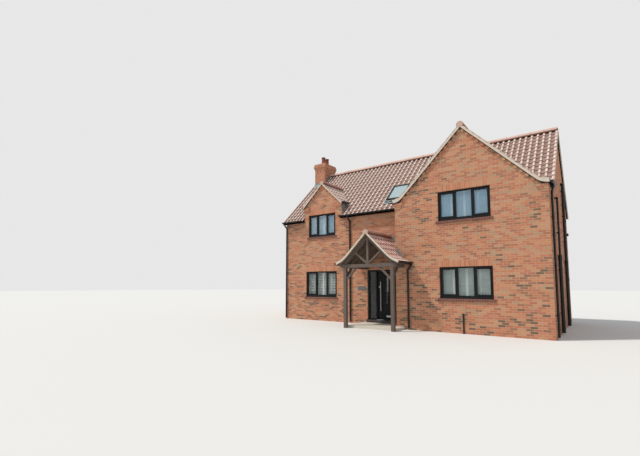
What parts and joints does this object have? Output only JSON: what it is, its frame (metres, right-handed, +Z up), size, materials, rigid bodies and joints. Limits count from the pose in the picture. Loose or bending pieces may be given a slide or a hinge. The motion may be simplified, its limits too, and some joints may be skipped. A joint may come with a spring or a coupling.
{
  "type": "detached house",
  "caption": "Detached brick house with a projecting gabled wing, a half dormer, pantiled roofs, a gable end chimney and an oak porch over an opening front door.",
  "frame": {"origin": "middle of the main range in plan, at ground level", "axes": "+X to the right along the front as seen from outside, +Y from the front to the rear, +Z up"},
  "size_m": [11.605, 8.26, 8.7291],
  "materials": {
    "brickwork": "mottled red, orange and brown facing brick with pale lime mortar, matt",
    "concrete": "plain screeded concrete, matt",
    "timber_floor": "boarded timber floor over a plastered ceiling, matt",
    "clay_pantiles": "weathered red and pink clay pantiles with brown patches, matt",
    "porch_pantiles": "newer orange red clay pantiles, matt",
    "ridge_clay": "red terracotta, matt",
    "mortar": "pale cream sand and lime mortar, rough",
    "black_frame": "black powder coat, satin",
    "window_pane": "clear sealed glazing with a faint blue green cast",
    "sill_tile": "dark red brown sill bricks, worn matt",
    "shutter_white": "white satin lacquer",
    "lead": "dull blue grey lead sheet with paler bloom",
    "black_plastic": "black, weathered to a soft sheen",
    "oak": "silvered air dried oak with open grain and dark checks",
    "pale_stone": "pale grey sawn stone, matt",
    "door_black": "black satin door facing",
    "steel": "brushed stainless steel",
    "slate": "riven dark slate, bare"
  },
  "bodies": {
    "house": {"ground_floor": "concrete", "upper_floor": "timber_floor", "wing_front_wall": "brickwork", "wing_left_wall": "brickwork", "front_wall_left": "brickwork", "front_wall_right": "brickwork", "front_wall_over_door": "brickwork", "left_gable_wall": "brickwork", "right_gable_wall": "brickwork", "rear_wall": "brickwork", "main_roof_front": "clay_pantiles", "main_roof_rear": "clay_pantiles", "wing_roof": "clay_pantiles", "dormer_roof": "clay_pantiles", "dormer_cheeks": "lead", "ridge_tiles": "ridge_clay", "verges": "mortar", "dentil_courses": "brickwork", "kneelers": "brickwork", "eaves_boards": "black_plastic", "window_frames": "black_frame", "window_sashes": "black_frame", "window_glass": "window_pane", "window_sills": "sill_tile", "plantation_shutters": "shutter_white", "roof_window": "black_frame", "roof_window_glass": "window_pane", "chimney_stack": "brickwork", "chimney_pots": "ridge_clay", "lead_flashings": "lead", "gutters": "black_plastic", "downpipes": "black_plastic", "soil_pipes": "black_plastic", "gable_fittings": "black_plastic", "porch_posts": "oak", "porch_beams": "oak", "porch_truss": "oak", "porch_braces": "oak", "porch_rafters": "oak", "porch_boarding": "oak", "porch_roof": "porch_pantiles", "porch_slab": "pale_stone", "door_step": "sill_tile", "door_frame": "black_frame", "side_glass": "window_pane", "door_hinges": "steel", "wall_plaque": "slate", "service_duct": "black_plastic"},
    "front_door": {"front_door": "door_black", "door_glass": "window_pane", "door_handle": "steel", "letter_plate": "steel"}
  },
  "joints": [
    {"name": "front_door_hinge", "type": "hinge", "parent": "house", "child": "front_door", "pos_m": [0.2475, -2.838, 1.2], "axis": [0, 0, -1], "range_deg": [0, 90]}
  ]
}
